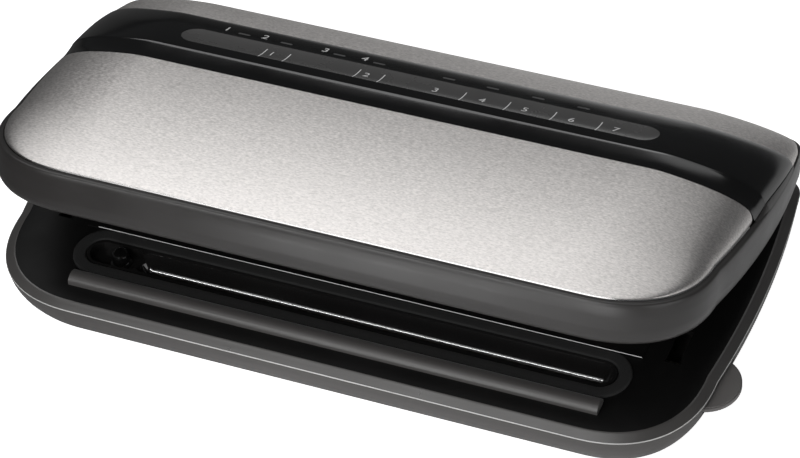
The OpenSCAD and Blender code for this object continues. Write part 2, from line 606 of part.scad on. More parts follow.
module press_lever() {
  y0 = -6;
  color([0.36, 0.35, 0.35]) place() translate([0, y_lev, 0]) difference() {
    union() {
      // round tab that a finger presses
      intersection() {
        translate([tab_cx, 0, tab_top - tab_t]) union() {
          cylinder(r = tab_r, h = tab_t - 0.8, $fn = 64);
          cylinder(r = tab_r - 0.6, h = tab_t, $fn = 64);
        }
        translate([tab_cx + 3, -30, 0]) cube([40, 60, 60]);
      }
      // stem to the pin, and the arm that drives the latch bar
      translate([lever_x, y0, tab_top - tab_t]) cube([tab_cx + 4 - lever_x, 12, tab_t - 0.8]);
      translate([lever_x, -y0, lever_z]) rotate([90, 0, 0]) cylinder(r = 3.4, h = 12);
      hull() {
        translate([lever_x - 2.4, y0, lever_z - 2]) cube([3, 12, 2]);
        translate([x_in + c, y0, slide_z + 0.6]) cube([3, 12, 3]);
      }
    }
    translate([lever_x, 10, lever_z]) rotate([90, 0, 0]) cylinder(d = pin_d + 2 * run_c, h = 20);
  }
}
module lever_pin() {
  color([0.7, 0.7, 0.72]) place()
    translate([lever_x, y_lev + 10, lever_z]) rotate([90, 0, 0]) cylinder(d = pin_d, h = 20);
}
module hinge_pins() {
  l = knuckle_w + 2 * ear_w + 2 * c;
  color([0.7, 0.7, 0.72]) place() for (s = [-1, 1]) translate([s * hinge_x - l / 2, hy, hz])
    rotate([0, 90, 0]) cylinder(d = pin_d, h = l);
}

// ---------- lid, in its own frame: z = 0 is its lower edge ----------
lid_rows = [[0, 6.6], [0.8, 5.2], [2.5, 3.3], [6, 1.6], [11, 0.7], [17, 0.9], [band_h - 3, 2.2],
  [band_h - 0.9, 4], [band_h, plate_in]];
ledge_in = 10.6;
cover_in = 5.6;
lid_bx = body_hw - 19.7;
lid_boss = [for (y = [yf + 36, yf + 104, yr - 26], s = [-1, 1]) [s * lid_bx, y]];
pcb_z = band_h + 8.6;
pcb_hx = 128;                    // its screws, half distance along
pcb_y0 = yf + 119;               // and its two rows of screws
pcb_y1 = yf + 153;
pcb_xy = [for (x = [-pcb_hx, pcb_hx], y = [pcb_y0, pcb_y1]) [x, y]];
touch_cx = 0.9;
touch_cy = yf + 136.8;
touch_z = band_h + 20.2;         // floor of the touch panel's recess
led_x = [-103.7, -79, -48.2, -25.2, 14.6, 39.3, 64.7, 89.7];
led_y = yf + 148.7;
cover_t = 2;
plate_gap = 0.22;                // round the steel plates
ch_w = 11.6;                     // width of the heating bar's channel
ch_z = bar_h - lid_gap + c + 0.2; // underside of the heating bar in the lid's frame

module lid_shell() {
  color([0.23, 0.22, 0.22]) lid_pose() union() {
    difference() {
      union() {
        difference() {
          skin(lid_rows);
          slab(band_h - plate_t, band_h + 1, plate_in - plate_gap);
        }
        crown_solid(plate_in, plate_t, 0, band_h - 4);
      }
      slab(-1, 3, ledge_in);
      slab(2, pad_z, ledge_in);
      slab(pad_z, band_h - 3.6, cover_in);
      crown_solid(plate_in + 2.4, plate_t + 2.2, 0, band_h - 6);
      // clearance round the hinge ears
      for (s = [-1, 1]) translate([s * hinge_x - knuckle_w / 2 - ear_w - 2, hy - 8, -1])
        cube([knuckle_w + 2 * ear_w + 4, 20, hz - z_lid + lug + 2.2]);
      // windows in the roof under the strip for the lamps
      for (x = led_x) translate([x, led_y, band_h + 10]) linear_extrude(40) stadium(4.2, 1.6);
    }
    // bosses that the inner cover screws to
    intersection() {
      for (p = lid_boss) translate([p[0], p[1], pad_z + cover_t]) difference() {
        cylinder(d = 8, h = 60);
        translate([0, 0, -1]) cylinder(d = 2.4, h = 12);
      }
      crown_solid(plate_in + 1.2, plate_t + 1.2, 0, pad_z);
    }
    // posts of the control board
    intersection() {
      for (p = pcb_xy) translate([p[0], p[1], pcb_z + 1.6]) difference() {
        cylinder(d = 7, h = 40);
        translate([0, 0, -1]) cylinder(d = 2.1, h = 8);
      }
      crown_solid(plate_in + 1.2, plate_t + 1.2, 0, pad_z);
    }
  }
}
module front_steel_plate() {
  color(steel) lid_pose() intersection() {
    crown_solid(plate_in, 0, plate_t);
    zone(yf - 10, true);
  }
}
module rear_steel_plate() {
  color(steel) lid_pose() intersection() {
    crown_solid(plate_in, 0, plate_t);
    zone(yr + 10, false);
  }
}
module control_strip() {
  color(black) lid_pose() difference() {
    intersection() {
      strip_solid();
      slab(10, 100, plate_in);
    }
    translate([touch_cx, touch_cy, touch_z]) linear_extrude(20) stadium(touch_l / 2, touch_w / 2);
    for (x = led_x) translate([x, led_y, band_h + 10]) linear_extrude(60) stadium(3.6, 1);
  }
}
module touch_panel() {
  color([0.22, 0.22, 0.23]) lid_pose() translate([touch_cx, touch_cy, touch_z])
    linear_extrude(1.2) stadium(touch_l / 2 - 0.1, touch_w / 2 - 0.1);
}
module indicator_lenses() {
  zt = top(0, led_y) + rise((led_y - edge0(0)) / (edge1(0) - edge0(0))) - 0.1;
  color([0.85, 0.85, 0.85]) lid_pose() for (x = led_x) translate([x, led_y, 0]) union() {
    translate([0, 0, top(0, led_y) - plate_t - 3.4]) linear_extrude(3.4) stadium(4.1, 1.5);
    translate([0, 0, top(0, led_y) - plate_t - 0.1])
      linear_extrude(zt - top(0, led_y) + plate_t + 0.1) stadium(3.5, 0.9);
  }
}
module control_board() {
  color([0.1, 0.35, 0.18]) lid_pose() union() {
    difference() {
      translate([-pcb_hx - 8, pcb_y0 - 5, pcb_z]) cube([2 * pcb_hx + 16, pcb_y1 - pcb_y0 + 10, 1.6]);
      for (p = pcb_xy) translate([p[0], p[1], pcb_z - 1]) cylinder(d = 2.6, h = 4);
    }
    for (x = led_x) translate([x, led_y, pcb_z + 1.5]) cylinder(d = 3, h = 5, $fn = 24);
    translate([-30, pcb_y0 + 3, pcb_z - 2.4]) cube([14, 14, 2.5]);
    translate([60, pcb_y0 + 3, pcb_z - 7.9]) cube([20, 8, 8]);
  }
}
module board_screws() {
  color([0.55, 0.55, 0.57]) lid_pose() for (p = pcb_xy) translate([p[0], p[1], pcb_z]) union() {
    translate([0, 0, -1.6]) difference() {
      cylinder(d = 4.6, h = 1.6);
      translate([0, 0, -1]) cylinder(d = 2, h = 1.8, $fn = 6);
    }
    translate([0, 0, -0.1]) cylinder(d = 2, h = 7);
  }
}
module lid_inner_cover() {
  xw = cav_hl + cover_t;
  color(black) lid_pose() union() {
    difference() {
      union() {
        slab(pad_z, pad_z + cover_t, cover_in + 0.15);
        // cavity that closes over the pump housing
        translate([-xw, cav_y0 - cover_t, pad_z])
          cube([2 * xw, cav_y1 - cav_y0 + 2 * cover_t, ceil_z + cover_t - pad_z]);
        // cavity over the heating bar
        translate([-bar_len / 2 - 4, yb - ch_w / 2 - 1.6, pad_z])
          cube([bar_len + 8, ch_w + 3.2, ch_z + 6.4 - pad_z]);
        // webs of the hinge knuckles
        for (s = [-1, 1]) translate([s * hinge_x - knuckle_w / 2, 0, 0]) rotate([90, 0, 90])
          linear_extrude(knuckle_w) union() {
            translate([hy, hz - z_lid]) circle(lug);
            translate([cav_y1, pad_z]) square([hy - cav_y1, 2 * lug - 2.2]);
          }
      }
      translate([-cav_hl, cav_y0, -1]) cube([2 * cav_hl, cav_y1 - cav_y0, ceil_z + 1]);
      translate([-bar_len / 2 - 2, yb - ch_w / 2, -1]) cube([bar_len + 4, ch_w, ch_z + 5.8]);
      // seat of the upper gasket
      translate([0, yg, 0]) difference() {
        linear_extrude(pad_z + 1.2) stadium(gasket_hl + 0.1, gasket_hw + 0.1);
        translate([0, 0, -1]) linear_extrude(pad_z + 4)
          stadium(gasket_hl - gasket_w - 0.1, gasket_hw - gasket_w - 0.1);
      }
      for (p = lid_boss) translate([p[0], p[1], 0]) cylinder(d = 3.2, h = 20);
      for (s = [-1, 1]) translate([s * slot_x - 3.1, y_hook - 6.2, 0]) cube([5, 12.4, 12]);
      for (s = [-1, 1]) {
        translate([s * hinge_x - 20, hy, hz - z_lid]) rotate([0, 90, 0])
          cylinder(d = pin_d + 2 * run_c, h = 40);
        // room beside each knuckle for the ears
        for (e = [-1, 1]) translate([s * hinge_x + e * ear_x - ear_w / 2 - c, hy - 8, 0])
          cube([ear_w + 2 * c, 20, 30]);
      }
    }
  }
}
module upper_gasket() {
  color([0.17, 0.17, 0.17]) lid_pose() translate([0, yg, gasket_up - lid_gap + c]) difference() {
    h = pad_z + 1.2 - (gasket_up - lid_gap + c);
    linear_extrude(h) stadium(gasket_hl, gasket_hw);
    translate([0, 0, -1]) linear_extrude(h + 2) stadium(gasket_hl - gasket_w, gasket_hw - gasket_w);
  }
}
module heating_bar() {
  w = ch_w / 2 - 0.1;
  color([0.7, 0.68, 0.64]) lid_pose() translate([-bar_len / 2, yb, 0]) rotate([90, 0, 90])
    linear_extrude(bar_len) polygon([[-w, ch_z], [w, ch_z], [w, ch_z + 2], [w - 2, ch_z + 2.6],
      [w - 2, ch_z + 4.8], [2 - w, ch_z + 4.8], [2 - w, ch_z + 2.6], [-w, ch_z + 2]]);
}
module heating_tape() {
  color([0.3, 0.2, 0.12]) lid_pose()
    translate([-bar_len / 2 + 0.5, yb - 4.6, ch_z - 0.2]) cube([bar_len - 1, 9.2, 0.2]);
}
module latch_hooks() {
  zt = pad_z + cover_t;
  zn = z_part - 3 - 3 - c - z_lid;       // top of the nose, under the catch
  color([0.75, 0.73, 0.68]) lid_pose() for (s = [-1, 1])
    translate([s * slot_x + 1.7 - nose, y_hook + 6, 0]) rotate([90, 0, 0]) linear_extrude(12)
      polygon([[-hook_t, zt], [-hook_t, zn - 4], [-0.6, zn - 4], [nose, zn - 1.6], [nose, zn], [0, zn],
        [0, zt], [4, zt], [4, zt + 1.6], [-hook_t - 4, zt + 1.6], [-hook_t - 4, zt]]);
}
module lid_screws() {
  color([0.5, 0.5, 0.5]) lid_pose() for (p = lid_boss) translate([p[0], p[1], 0]) union() {
    translate([0, 0, pad_z - 1.7]) difference() {
      cylinder(d = 5.6, h = 1.7);
      translate([0, 0, -1]) cylinder(d = 2.4, h = 1.9, $fn = 6);
    }
    translate([0, 0, pad_z - 0.1]) cylinder(d = 2.3, h = 10);
  }
}

base_tub();
base_deck();
rubber_feet();
base_screws();
drip_tray();
lower_gasket();
vacuum_nozzle();
pressure_bar();
pump_motor();
pump_head();
pump_cradle();
vacuum_hose();
release_valve();
power_board();
transformer();
power_inlet();
latch_bar();
latch_spring();
press_lever();
lever_pin();
hinge_pins();
lid_shell();
front_steel_plate();
rear_steel_plate();
control_strip();
touch_panel();
indicator_lenses();
control_board();
board_screws();
lid_inner_cover();
upper_gasket();
heating_bar();
heating_tape();
latch_hooks();
lid_screws();
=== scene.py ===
import math

import bmesh
import bpy
import numpy as np
from mathutils import Matrix, Vector


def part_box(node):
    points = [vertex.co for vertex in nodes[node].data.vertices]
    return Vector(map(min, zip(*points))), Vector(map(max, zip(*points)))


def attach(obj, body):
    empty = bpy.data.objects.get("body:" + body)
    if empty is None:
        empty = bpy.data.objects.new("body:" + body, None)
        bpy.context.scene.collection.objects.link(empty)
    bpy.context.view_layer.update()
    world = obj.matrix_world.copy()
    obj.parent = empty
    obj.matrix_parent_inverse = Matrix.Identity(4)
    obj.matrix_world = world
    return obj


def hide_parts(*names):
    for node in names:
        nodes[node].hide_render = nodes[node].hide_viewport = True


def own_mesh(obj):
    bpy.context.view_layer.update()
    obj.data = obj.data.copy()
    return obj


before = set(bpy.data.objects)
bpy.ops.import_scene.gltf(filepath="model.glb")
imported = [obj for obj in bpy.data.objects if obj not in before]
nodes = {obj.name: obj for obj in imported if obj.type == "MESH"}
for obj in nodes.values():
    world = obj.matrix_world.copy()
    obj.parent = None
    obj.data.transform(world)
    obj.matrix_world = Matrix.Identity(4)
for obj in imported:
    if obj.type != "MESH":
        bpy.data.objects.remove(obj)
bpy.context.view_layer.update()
MM = 0.001

# ---------------------------------------------------------------- sizes, in mm, as in the part's source
# Body: half width, bow of its sides, depth; front corners' radius and power, rear corners' radius
HALF_W, BOW, DEPTH = 196.7, 4.6, 208
FRONT_R, FRONT_P, REAR_R = 58.1, 2.38, 13.0
Y_FRONT, Y_REAR = -DEPTH / 2, DEPTH / 2
# Base: height of its feet, tub and rim, and how far the tub tucks in at the bottom
FOOT_H, TUB_H, RIM_H, TUCK = 2.0, 23.4, 2.8, 10.8
Z_FLOOR, Z_PART, Z_DECK = FOOT_H, FOOT_H + TUB_H, FOOT_H + TUB_H + RIM_H
# Press tab: its middle, radius, start of its round end past its centre, how far it stands out; its slot
Y_TAB, TAB_R, TAB_FLAT, TAB_OUT, SLOT_Z = Y_FRONT + 59.5, 18.6, 3, 6.8, (15.0, 23.0)
SHIFT = -TAB_OUT / 2  # the body's middle in the row frame, since the tab stands out on one side only
# Seats of the base's screws and feet, power inlet, vents in the floor
SCREW_R, FOOT_R = 3.5, 8.1
SCREWS = [(side * x, y) for x, y in ((150, Y_FRONT + 22), (178, Y_REAR - 34), (70, Y_REAR - 12))
          for side in (-1, 1)]
FEET = [(side * x, y) for x, y in ((148, Y_FRONT + 38), (165, Y_REAR - 36)) for side in (-1, 1)]
INLET_X, INLET_Z = (140, 164), (6.6, 20.6)
VENT_X, VENT_Y, VENT_W, VENT_GAP = 70, (20, 54), 3, 8
# Chamber gasket: its middle, half length and half width; width of its foam and how far it stands proud
Y_SEAL, SEAL_HL, SEAL_HW, FOAM_W, FOAM_UP = Y_FRONT + 42.5, HALF_W - 40.7, 16.3, 7.0, 1.2
WELL_X = 26.4 - SEAL_HL + 9  # where the tray's well round the nozzle ends
Y_STEP = Y_FRONT + 58.4  # step behind the chamber
# Lid: the angle it stands at in the photo, height of its lower edge when closed, hinge axis
AJAR, Z_LID, Y_HINGE, Z_HINGE = 16.8, Z_DECK + 0.4, Y_REAR - 5.5, Z_DECK + 5.3
# Lid: height of its side band, of the crown over that, length of the crown's end slopes, its highest line
BAND_H, CROWN_H, END_W, Y_CROWN = 25.7, 20.6, 53.4, Y_FRONT + 120.9
# Plates: inset, thickness of the plates and the strip, and the inset that the plates are drawn at
PLATE_IN, SHEET_T = 5.5, 1.0
PLATE_EDGE = PLATE_IN + 0.08
# Black strip: its edges, how far they run back at the ends and from where, height of its ridge, end inset
STRIP_Y0, STRIP_Y1, BACK0, BACK1, BACK_X = Y_FRONT + 104.0, Y_FRONT + 162.7, 6.7, 11.7, 151.0
RIDGE_H, STRIP_IN = 2.9, 4.9
# Touch panel: middle, length, width and floor of its recess. It is drawn wider and further forward than the
# part's own, since the strip's ridge would hide its face from the camera.
TOUCH_X, TOUCH_Y, TOUCH_L, TOUCH_W, TOUCH_Z = 0.9, Y_FRONT + 134.9, 269.4, 18.2, BAND_H + 20.2
# Where the strip has lamp windows, printed lines, key numbers and lamp numbers
LAMP_X, LAMP_Y = [-103.7, -79, -48.2, -25.2, 14.6, 39.3, 64.7, 89.7], Y_FRONT + 148.7
LINES = [-85.5, -71.8, -31.3, -17.5, 28.6, 53.3, 78.7, 103.8]
KEYS = [(-80.8, 29.4), (-26.0, 29.0), (13.1, 29.0), (39.3, 29.0), (63.0, 29.0), (88.7, 28.8), (112.8, 28.8)]
LABELS = [(-114.2, 46.2), (-91.9, 46.2), (-56.8, 46.4), (-34.0, 46.2)]
SETTLE = 12  # rounds in which x and y settle where each depends on the other


# ---------------------------------------------------------------- shape formulas
def half_width(y, k):
    """Half width of the body at depth y, at an inset k."""
    y = np.asarray(y, float)
    w, f, r = HALF_W - k, FRONT_R - k, np.maximum(REAR_R - k, 0.5)
    a, b = Y_FRONT + k + f, Y_REAR - k - r
    front = w - f + f * np.clip(1 - np.clip((a - y) / f, 0, 1) ** FRONT_P, 0, 1) ** (1 / FRONT_P)
    rear = w - r + np.sqrt(np.clip(r * r - (y - b) ** 2, 0, None))
    mid = w + BOW * (1 - ((2 * y - a - b) / (b - a)) ** 2)
    return np.where(y < a, front, np.where(y > b, rear, mid))


def outline(k, nf=26, ns=18, nr=14, nx=14):
    """Closed outline at an inset k: a list of (x, y), right side first."""
    w, f, r = HALF_W - k, FRONT_R - k, max(REAR_R - k, 0.5)
    a, b = Y_FRONT + k + f, Y_REAR - k - r
    t = np.radians(np.linspace(90, 0, nf + 1))
    fx, fy = w - f + f * np.cos(t) ** (2 / FRONT_P), a - f * np.sin(t) ** (2 / FRONT_P)
    ym = np.linspace(a, b, ns + 1)[1:-1]
    t = np.radians(np.linspace(0, 90, nr + 1))
    rx, ry = w - r + r * np.cos(t), b + r * np.sin(t)
    side = np.stack([np.concatenate([fx, half_width(ym, k), rx]), np.concatenate([fy, ym, ry])], 1)
    back = np.stack([np.linspace(side[-1, 0], -side[-1, 0], nx + 1)[1:-1], np.full(nx - 1, side[-1, 1])], 1)
    left = side[::-1] * [-1, 1]
    fronts = np.stack([np.linspace(-side[0, 0], side[0, 0], nx + 1)[1:-1], np.full(nx - 1, side[0, 1])], 1)
    return np.concatenate([side, back, left, fronts])


def dome(t, p):
    """Falls from 1 at t = 0 to 0 at t = 1, with the two powers p."""
    t = np.clip(t, 0, 1)
    return np.clip(1 - t ** p[0], 0, 1) ** p[1]


def crown(y):
    """Height of the lid's top over its band along the middle, falling to the front and to the rear."""
    front = dome((Y_CROWN - y) / (Y_CROWN - Y_FRONT - PLATE_IN), (1.93, 0.875))
    rear = dome((y - Y_CROWN) / (Y_REAR - PLATE_IN - Y_CROWN), (2.49, 0.386))
    return CROWN_H * np.where(y < Y_CROWN, front, rear)


def ease(q):
    """Smooth step from 0 to 1."""
    q = np.clip(q, 0, 1)
    return q * q * (3 - 2 * q)


def narrow(y, z):
    """Share of an inset that is left on the lid's shoulder at depth y; it grows tighter toward the rear."""
    rearward = ease((y - 4) / 68) - 0.7 * ease((y - 84) / 14)
    return 1 - 0.64 * rearward * ease((np.asarray(z, float) - 12) / 9)


def lid_half_width(y, k, z=99.0):
    """Half width of the lid at depth y and height z, at an inset k."""
    y = np.asarray(y, float)
    return half_width(y, k * narrow(y, z))


def lid_outline(k, z):
    """The outline at an inset k, drawn out along the sides where the lid's shoulder is tighter."""
    p = outline(k)
    side = np.abs(np.abs(p[:, 0]) - half_width(p[:, 1], k)) < 1e-6
    p[side, 0] = (np.sign(p[:, 0]) * lid_half_width(p[:, 1], k, z))[side]
    return p


def lid_top(x, y):
    """Height of the lid's top, without the strip's ridge."""
    return BAND_H + crown(y) * dome((np.abs(x) - lid_half_width(y, PLATE_IN) + END_W) / END_W, (1.6, 0.517))


def run_back(x):
    """Share of the way that the strip's edges run back toward the lid's ends."""
    return (np.clip(np.abs(x) - BACK_X, 0, None) / (HALF_W - BACK_X)) ** 2


def strip_front(x):
    """The strip's front edge."""
    return STRIP_Y0 + BACK0 * run_back(x)


def strip_rear(x):
    """The strip's rear edge."""
    return STRIP_Y1 + BACK1 * run_back(x)


def smooth_curve(xs, ys, x):
    """Monotone cubic through the points."""
    xs, ys, x = np.asarray(xs, float), np.asarray(ys, float), np.asarray(x, float)
    h = np.diff(xs)
    d = np.diff(ys) / h
    m = np.zeros(len(xs))
    m[0], m[-1] = d[0], d[-1]
    for i in range(1, len(xs) - 1):
        m[i] = 0 if d[i - 1] * d[i] <= 0 else 2 * d[i - 1] * d[i] / (d[i - 1] + d[i])
    i = np.clip(np.searchsorted(xs, x) - 1, 0, len(xs) - 2)
    t = (x - xs[i]) / h[i]
    return ((2 * t**3 - 3 * t**2 + 1) * ys[i] + (t**3 - 2 * t**2 + t) * h[i] * m[i]
            + (-2 * t**3 + 3 * t**2) * ys[i + 1] + (t**3 - t**2) * h[i] * m[i + 1])


# The ridge: shares of the strip's depth and of RIDGE_H. A hollow ramp climbs to the crest.
RIDGE = [(0, 0.04), (0.04, 0.07), (0.076, 0.118), (0.093, 0.16), (0.11, 0.21), (0.127, 0.268),
         (0.144, 0.331), (0.161, 0.398), (0.178, 0.469), (0.195, 0.545), (0.212, 0.628), (0.222, 0.69),
         (0.236, 0.80), (0.245, 0.81), (0.3, 0.82), (0.6, 0.70), (0.9, 0.33), (0.97, 0.17), (1, 0.03)]


def strip_top(x, y):
    """Height of the black strip."""
    v = np.clip((y - strip_front(x)) / (strip_rear(x) - strip_front(x)), 0, 1)
    return lid_top(x, y) + RIDGE_H * smooth_curve(*zip(*RIDGE), v)


# ---------------------------------------------------------------- placing
def to_row(p, lid=False):
    """Points in mm, in the body's or the lid's own frame, to metres in the row frame."""
    p = np.array(p, float).reshape(-1, 3)
    if lid:
        t = math.radians(AJAR)
        y, z = p[:, 1] - Y_HINGE, p[:, 2] + Z_LID - Z_HINGE
        y, z = y * math.cos(t) + z * math.sin(t), z * math.cos(t) - y * math.sin(t)
        p = np.stack([p[:, 0], Y_HINGE + y, Z_HINGE + z], 1)
    return (p + [SHIFT, 0, 0]) * MM


def from_row(p):
    """Points in the row frame back to the lid's own frame, in mm."""
    p = np.array(p, float).reshape(-1, 3) / MM - [SHIFT, 0, 0]
    t = math.radians(AJAR)
    y, z = p[:, 1] - Y_HINGE, p[:, 2] - Z_HINGE
    y, z = y * math.cos(t) - z * math.sin(t), y * math.sin(t) + z * math.cos(t)
    return np.stack([p[:, 0], Y_HINGE + y, Z_HINGE + z - Z_LID], 1)


def link(name, me):
    o = bpy.data.objects.new(name, me)
    bpy.context.scene.collection.objects.link(o)
    return o


def mesh_of(name, verts, faces, lid, weld=None):
    """A mesh from points in mm, its faces turned outward. weld joins points closer than that, in metres."""
    me = bpy.data.meshes.new(name)
    me.from_pydata(to_row(verts, lid).tolist(), [], [list(map(int, f)) for f in faces])
    if weld:
        me.validate()
    bm = bmesh.new()
    bm.from_mesh(me)
    if weld:
        bmesh.ops.remove_doubles(bm, verts=bm.verts, dist=weld)
    bmesh.ops.recalc_face_normals(bm, faces=bm.faces)
    bm.to_mesh(me)
    bm.free()
    return me


def make(name, verts, faces, look, body, slot, angle=32, bevel=None):
    """A visible piece on a body. Edges sharper than angle stay sharp, and bevel rounds them, in mm."""
    o = link(name, mesh_of(name, verts, faces, body == "lid", 2e-6))
    finish_mesh(o, look, angle)
    if bevel:
        m = o.modifiers.new("edge", "BEVEL")
        m.width, m.segments = bevel * MM, 3
        m.limit_method, m.angle_limit = "ANGLE", math.radians(40)
        m.harden_normals = False
    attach(o, body)
    return o


def finish_mesh(o, look, angle):
    me = o.data
    me.materials.clear()
    me.materials.append(LOOKS[look])
    me.polygons.foreach_set("use_smooth", [True] * len(me.polygons))
    me.set_sharp_from_angle(angle=math.radians(angle))
    me.update()


def skin(n, m, closed=False):
    """Faces through m rings of n points: a closed ring of rings, or a skin capped at both ends."""
    f = []
    for i in range(m if closed else m - 1):
        a, b = i * n, ((i + 1) % m) * n
        f += [(a + j, a + (j + 1) % n, b + (j + 1) % n, b + j) for j in range(n)]
    return f if closed else f + [list(range(n))[::-1], list(range((m - 1) * n, m * n))]


def loft(rows, around=lambda k, z: outline(k), closed=False):
    """Skin through outlines at rows of (z, inset)."""
    rings = [around(k, z) for z, k in rows]
    v = [(p[0], p[1], z) for ring, (z, _) in zip(rings, rows) for p in ring]
    return v, skin(len(rings[0]), len(rows), closed)


def fine_rows(pts, n):
    """Rows of (z, inset) run smoothly through the given ones, by length along them."""
    z, k = np.array([p[0] for p in pts], float), np.array([p[1] for p in pts], float)
    s = np.concatenate([[0], np.cumsum(np.hypot(np.diff(z), np.diff(k)))])
    t = np.linspace(0, s[-1], n)
    return list(zip(smooth_curve(s, z, t), smooth_curve(s, k, t)))


def stadium(hl, hw, n=28):
    """Outline of a slot with round ends, from its half length and half width."""
    t = np.radians(np.linspace(-90, 90, n))
    end = np.stack([hl - hw + hw * np.cos(t), hw * np.sin(t)], 1)
    m = np.linspace(1, -1, 12)[1:-1]
    side = np.stack([(hl - hw) * m, np.full(len(m), hw)], 1)
    return np.concatenate([end, side, -end, -side])


def prism(loop, z0, z1, cx=0, cy=0):
    v = [(p[0] + cx, p[1] + cy, z) for z in (z0, z1) for p in loop]
    return v, skin(len(loop), 2)


def block(x0, y0, z0, x1, y1, z1):
    return prism([(x0, y0), (x1, y0), (x1, y1), (x0, y1)], z0, z1)


def circle(r, n=32):
    return [(r * math.cos(2 * math.pi * i / n), r * math.sin(2 * math.pi * i / n)) for i in range(n)]


def cut(o, cutters, lid=False):
    """Takes closed shapes out of a piece."""
    for v, f in cutters:
        c = link("cutter", mesh_of("cutter", v, f, lid))
        m = o.modifiers.new("cut", "BOOLEAN")
        m.operation, m.solver, m.object = "DIFFERENCE", "EXACT", c
        dg = bpy.context.evaluated_depsgraph_get()
        new = bpy.data.meshes.new_from_object(o.evaluated_get(dg))
        o.modifiers.remove(m)
        old = o.data
        o.data = new
        bpy.data.meshes.remove(old)
        bpy.data.objects.remove(c)


# ---------------------------------------------------------------- materials
NOISE = 0.3, 0.7  # the part of a noise texture's output that counts


def shader(m):
    """A material's or world's nodes and links."""
    m.use_nodes = True
    return m.node_tree.nodes, m.node_tree.links


def node(n, kind, **values):
    """A new shader node with its sockets set; an underscore stands for a space in a socket's name."""
    q = n.new("ShaderNode" + kind)
    for socket, value in values.items():
        q.inputs[socket.replace("_", " ")].default_value = value
    return q


def remap(n, l, source, frm, to):
    """The output that takes source from one range to another."""
    q = node(n, "MapRange", From_Min=frm[0], From_Max=frm[1], To_Min=to[0], To_Max=to[1])
    l.new(source, q.inputs["Value"])
    return q.outputs["Result"]


def look(name, color, rough, metal=0.0, spec=0.5, coat=0.0, coat_rough=0.1, grain=None, var=0.06,
         var_scale=30, rough_var=0.06, brushed=None, sheen=0.0, spread=0.0):
    """A procedural material. Its colour varies by the share var and its roughness by rough_var.

    grain is (scale, strength, distance in mm) of its bump, brushed scales the noise along x, y and z, and
    spread widens the reflection across the brush lines.
    """
    m = bpy.data.materials.new(name)
    n, l = shader(m)
    b = n["Principled BSDF"]
    for socket, value in (("Metallic", metal), ("Specular IOR Level", spec), ("Coat Weight", coat),
                          ("Coat Roughness", coat_rough), ("Sheen Weight", sheen)):
        b.inputs[socket].default_value = value
    if spread:
        b.inputs["Anisotropic"].default_value = spread
        across = node(n, "CombineXYZ", Y=math.cos(math.radians(AJAR)), Z=-math.sin(math.radians(AJAR)))
        l.new(across.outputs["Vector"], b.inputs["Tangent"])
    src = n.new("ShaderNodeTexCoord").outputs["Object"]
    if brushed:
        stretch = node(n, "Mapping", Scale=brushed)
        l.new(src, stretch.inputs["Vector"])
        src = stretch.outputs["Vector"]
    noise = node(n, "TexNoise", Scale=var_scale, Detail=6, Roughness=0.6)
    l.new(src, noise.inputs["Vector"])
    ramp = n.new("ShaderNodeValToRGB")
    for stop, sign, at in zip(ramp.color_ramp.elements, (-1, 1), NOISE):
        stop.color = (*np.clip(np.array(color, float) * (1 + sign * var), 0, 1), 1)
        stop.position = at
    l.new(noise.outputs["Fac"], ramp.inputs["Fac"])
    l.new(ramp.outputs["Color"], b.inputs["Base Color"])
    roughness = max(rough - rough_var, 0.02), min(rough + rough_var, 1)
    l.new(remap(n, l, noise.outputs["Fac"], NOISE, roughness), b.inputs["Roughness"])
    if grain:
        fine = node(n, "TexNoise", Scale=grain[0], Detail=3)
        l.new(src, fine.inputs["Vector"])
        bump = node(n, "Bump", Strength=grain[1], Distance=grain[2] * MM)
        l.new(fine.outputs["Fac"], bump.inputs["Height"])
        l.new(bump.outputs["Normal"], b.inputs["Normal"])
    return m


